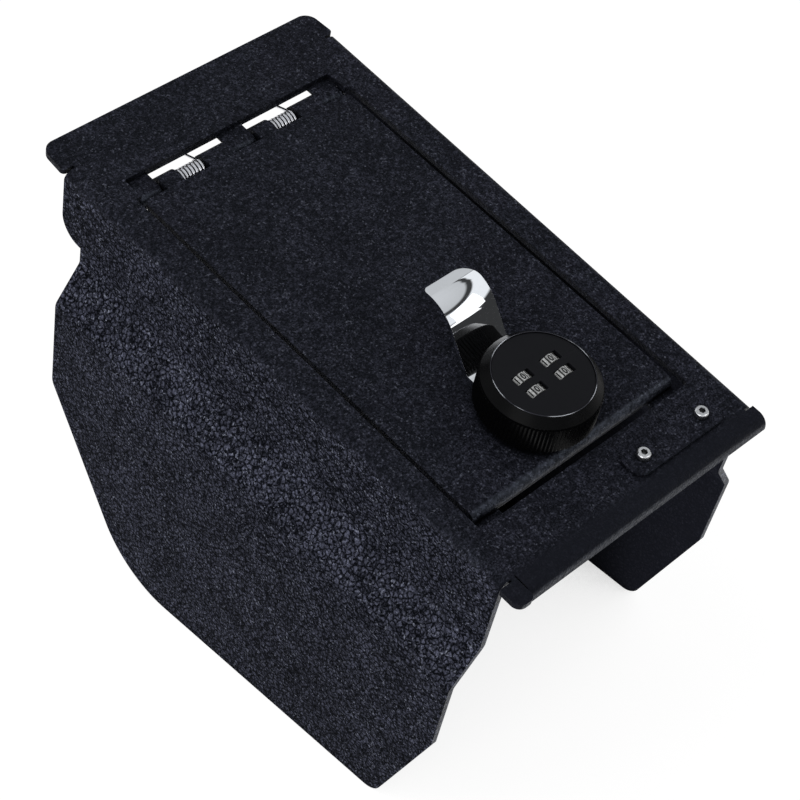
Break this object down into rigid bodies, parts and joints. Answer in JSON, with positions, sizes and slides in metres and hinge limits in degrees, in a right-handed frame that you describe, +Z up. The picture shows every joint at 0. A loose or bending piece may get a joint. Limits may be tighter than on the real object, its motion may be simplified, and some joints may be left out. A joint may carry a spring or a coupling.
{
  "type": "vehicle console safe",
  "caption": "Folded sheet-metal console safe: stepped side walls under a framed deck, with a sprung lid on a hinge rod, a bent finger pull and a round combination cam lock.",
  "frame": {"origin": "bottom centre of the whole object's box, on the floor that the side walls stand on", "axes": "+X to the right seen from the front, +Y to the rear where the hinge is, +Z up; the deck slopes down to the front by 9.8 degrees"},
  "size_m": [0.17, 0.2736, 0.2084],
  "materials": {
    "black_powder_coat": "fine wrinkle powder coat, satin",
    "zinc_plated_steel": "plated, satin",
    "spring_steel": "bright drawn wire",
    "blued_spring_steel": "dark tempered",
    "bright_chrome": "polished",
    "knob_black": "black, satin",
    "knob_face_grey": "dark grey, matte",
    "dial_silver": "satin with dark number fields"
  },
  "bodies": {
    "body": {"body_shell": "black_powder_coat", "hinge_leaf": "black_powder_coat", "hinge_rod": "zinc_plated_steel", "rod_clip_left": "blued_spring_steel", "rod_clip_right": "blued_spring_steel", "spring_left": "spring_steel", "spring_right": "spring_steel", "cover_plate": "black_powder_coat", "cover_screws": "zinc_plated_steel", "cover_nuts": "zinc_plated_steel", "latch_strike": "black_powder_coat", "lid_stop_left": "black_powder_coat", "lid_stop_right": "black_powder_coat"},
    "lid": {"lid_plate": "black_powder_coat", "finger_pull": "bright_chrome", "lock_barrel": "zinc_plated_steel", "lock_washer": "zinc_plated_steel", "lock_nut": "zinc_plated_steel"},
    "knob": {"knob_housing": "knob_black", "knob_face": "knob_face_grey", "dial_axle_left": "zinc_plated_steel", "dial_axle_right": "zinc_plated_steel", "detent_leaf_left": "blued_spring_steel", "detent_leaf_right": "blued_spring_steel", "lock_spindle": "zinc_plated_steel", "lock_cam": "zinc_plated_steel", "cam_washer": "zinc_plated_steel", "cam_screw": "zinc_plated_steel"},
    "dial_1": {"dial_1": "dial_silver"},
    "dial_2": {"dial_2": "dial_silver"},
    "dial_3": {"dial_3": "dial_silver"},
    "dial_4": {"dial_4": "dial_silver"}
  },
  "joints": [
    {"name": "lid_hinge", "type": "hinge", "parent": "body", "child": "lid", "pos_m": [-0.001, 0.09647, 0.19463], "axis": [-1, 0, 0], "range_deg": [0, 92], "stiffness_Nm_per_rad": 0.12, "springref_deg": 91.67},
    {"name": "knob_turn", "type": "hinge", "parent": "lid", "child": "knob", "pos_m": [-0.001, -0.07498, 0.17206], "axis": [0, -0.1693, 0.9856], "range_deg": [0, 90]},
    {"name": "dial_1_turn", "type": "hinge", "parent": "knob", "child": "dial_1", "pos_m": [-0.0085, -0.07364, 0.1864], "axis": [0, 0.9856, 0.1693], "continuous": true},
    {"name": "dial_2_turn", "type": "hinge", "parent": "knob", "child": "dial_2", "pos_m": [0.0065, -0.07364, 0.1864], "axis": [0, 0.9856, 0.1693], "continuous": true},
    {"name": "dial_3_turn", "type": "hinge", "parent": "knob", "child": "dial_3", "pos_m": [-0.0085, -0.08103, 0.18513], "axis": [0, 0.9856, 0.1693], "continuous": true},
    {"name": "dial_4_turn", "type": "hinge", "parent": "knob", "child": "dial_4", "pos_m": [0.0065, -0.08103, 0.18513], "axis": [0, 0.9856, 0.1693], "continuous": true}
  ]
}
